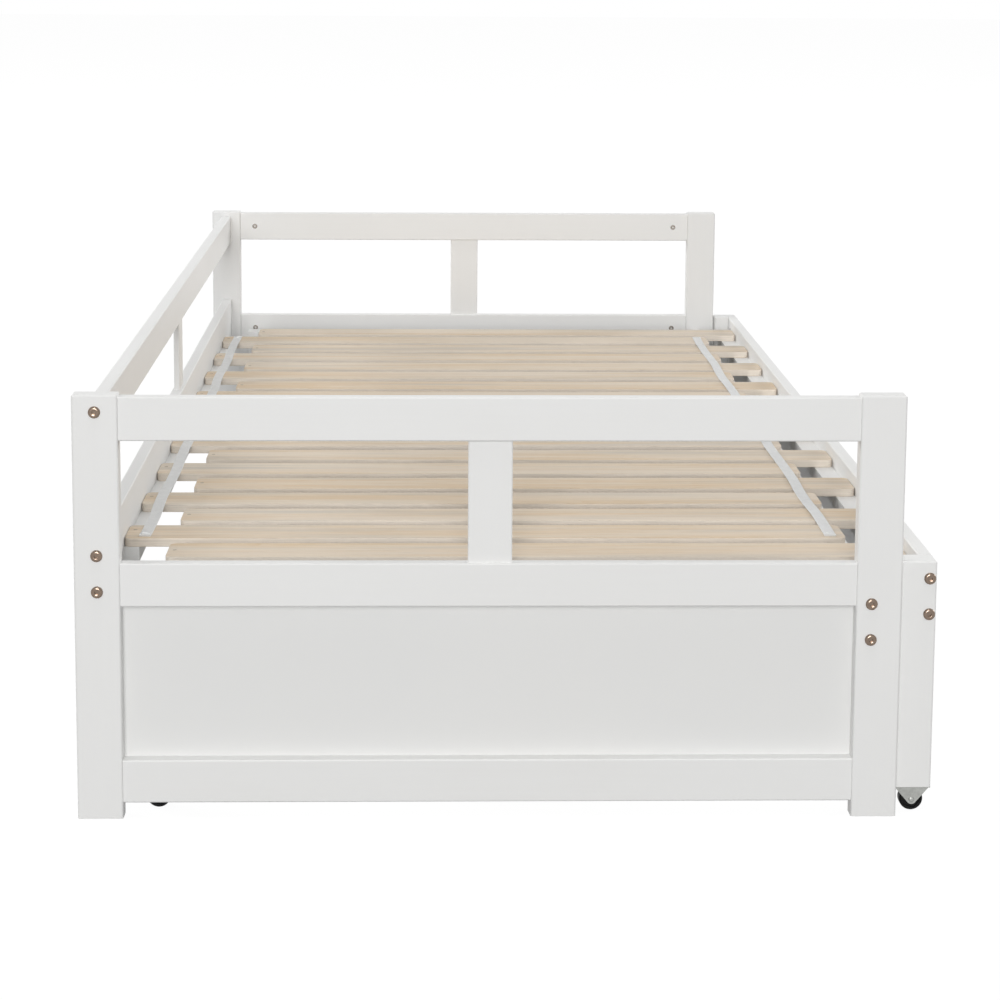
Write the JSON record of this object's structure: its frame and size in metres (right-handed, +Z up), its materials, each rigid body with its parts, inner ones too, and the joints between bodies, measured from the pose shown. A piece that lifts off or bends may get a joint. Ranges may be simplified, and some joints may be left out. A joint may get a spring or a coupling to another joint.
{
  "type": "trundle bed",
  "caption": "White slatted daybed with open end frames and a rolling pull-out at deck level, whose slats slide between the fixed slats to widen the bed.",
  "frame": {"origin": "on the floor under the middle of the closed bed", "axes": "+X to the front, the way the pull-out rolls; +Y along the bed from the foot to the head; +Z up"},
  "size_m": [1.075, 2.007, 0.54],
  "materials": {
    "white_paint": "satin white paint",
    "lacquered_pine": "clear matt lacquer",
    "webbing": "woven strap",
    "nickel_steel": "nickel plated",
    "zinc_steel": "zinc plated",
    "wheel_plastic": "moulded"
  },
  "bodies": {
    "frame": {"fixed_slat_1": "lacquered_pine", "fixed_slat_2": "lacquered_pine", "fixed_slat_3": "lacquered_pine", "fixed_slat_4": "lacquered_pine", "fixed_slat_5": "lacquered_pine", "fixed_slat_6": "lacquered_pine", "fixed_slat_7": "lacquered_pine", "fixed_slat_8": "lacquered_pine", "fixed_slat_9": "lacquered_pine", "fixed_strap": "webbing", "foot_bottom_rail": "white_paint", "foot_front_leg": "white_paint", "foot_middle_rail": "white_paint", "foot_panel": "white_paint", "foot_rear_leg": "white_paint", "foot_stile": "white_paint", "foot_top_rail": "white_paint", "frame_bolts": "nickel_steel", "front_beam": "white_paint", "front_ledger": "white_paint", "front_strap": "webbing", "head_bottom_rail": "white_paint", "head_front_leg": "white_paint", "head_middle_rail": "white_paint", "head_panel": "white_paint", "head_rear_leg": "white_paint", "head_stile": "white_paint", "head_top_rail": "white_paint", "rear_ledger": "white_paint", "rear_side_rail": "white_paint", "rear_stile": "white_paint", "rear_top_rail": "white_paint"},
    "pullout": {"caster_axles": "zinc_steel", "foot_front_caster_bracket": "zinc_steel", "foot_pullout_front_leg": "white_paint", "foot_pullout_rear_leg": "white_paint", "foot_rear_caster_bracket": "zinc_steel", "head_front_caster_bracket": "zinc_steel", "head_pullout_front_leg": "white_paint", "head_pullout_rear_leg": "white_paint", "head_rear_caster_bracket": "zinc_steel", "pullout_bolts": "nickel_steel", "pullout_front_rail": "white_paint", "pullout_ledger": "white_paint", "pullout_rear_beam": "white_paint", "sliding_slat_1": "lacquered_pine", "sliding_slat_10": "lacquered_pine", "sliding_slat_2": "lacquered_pine", "sliding_slat_3": "lacquered_pine", "sliding_slat_4": "lacquered_pine", "sliding_slat_5": "lacquered_pine", "sliding_slat_6": "lacquered_pine", "sliding_slat_7": "lacquered_pine", "sliding_slat_8": "lacquered_pine", "sliding_slat_9": "lacquered_pine"},
    "foot_front_wheel": {"foot_front_caster_wheel": "wheel_plastic"},
    "foot_rear_wheel": {"foot_rear_caster_wheel": "wheel_plastic"},
    "head_front_wheel": {"head_front_caster_wheel": "wheel_plastic"},
    "head_rear_wheel": {"head_rear_caster_wheel": "wheel_plastic"}
  },
  "joints": [
    {"name": "pullout_slide", "type": "slide", "parent": "frame", "child": "pullout", "axis": [1, 0, 0], "range_m": [0, 0.838]},
    {"name": "foot_front_wheel_spin", "type": "hinge", "parent": "pullout", "child": "foot_front_wheel", "pos_m": [0.515, -0.9705, 0.015], "axis": [0, 1, 0], "continuous": true},
    {"name": "foot_rear_wheel_spin", "type": "hinge", "parent": "pullout", "child": "foot_rear_wheel", "pos_m": [-0.4405, -0.9525, 0.015], "axis": [0, 1, 0], "continuous": true},
    {"name": "head_front_wheel_spin", "type": "hinge", "parent": "pullout", "child": "head_front_wheel", "pos_m": [0.515, 0.9705, 0.015], "axis": [0, 1, 0], "continuous": true},
    {"name": "head_rear_wheel_spin", "type": "hinge", "parent": "pullout", "child": "head_rear_wheel", "pos_m": [-0.4405, 0.9525, 0.015], "axis": [0, 1, 0], "continuous": true}
  ],
  "couplings": [
    {"joint": "foot_front_wheel_spin", "follows": "pullout_slide", "rad_per_m": 66.667},
    {"joint": "foot_rear_wheel_spin", "follows": "pullout_slide", "rad_per_m": 66.667},
    {"joint": "head_front_wheel_spin", "follows": "pullout_slide", "rad_per_m": 66.667},
    {"joint": "head_rear_wheel_spin", "follows": "pullout_slide", "rad_per_m": 66.667}
  ]
}
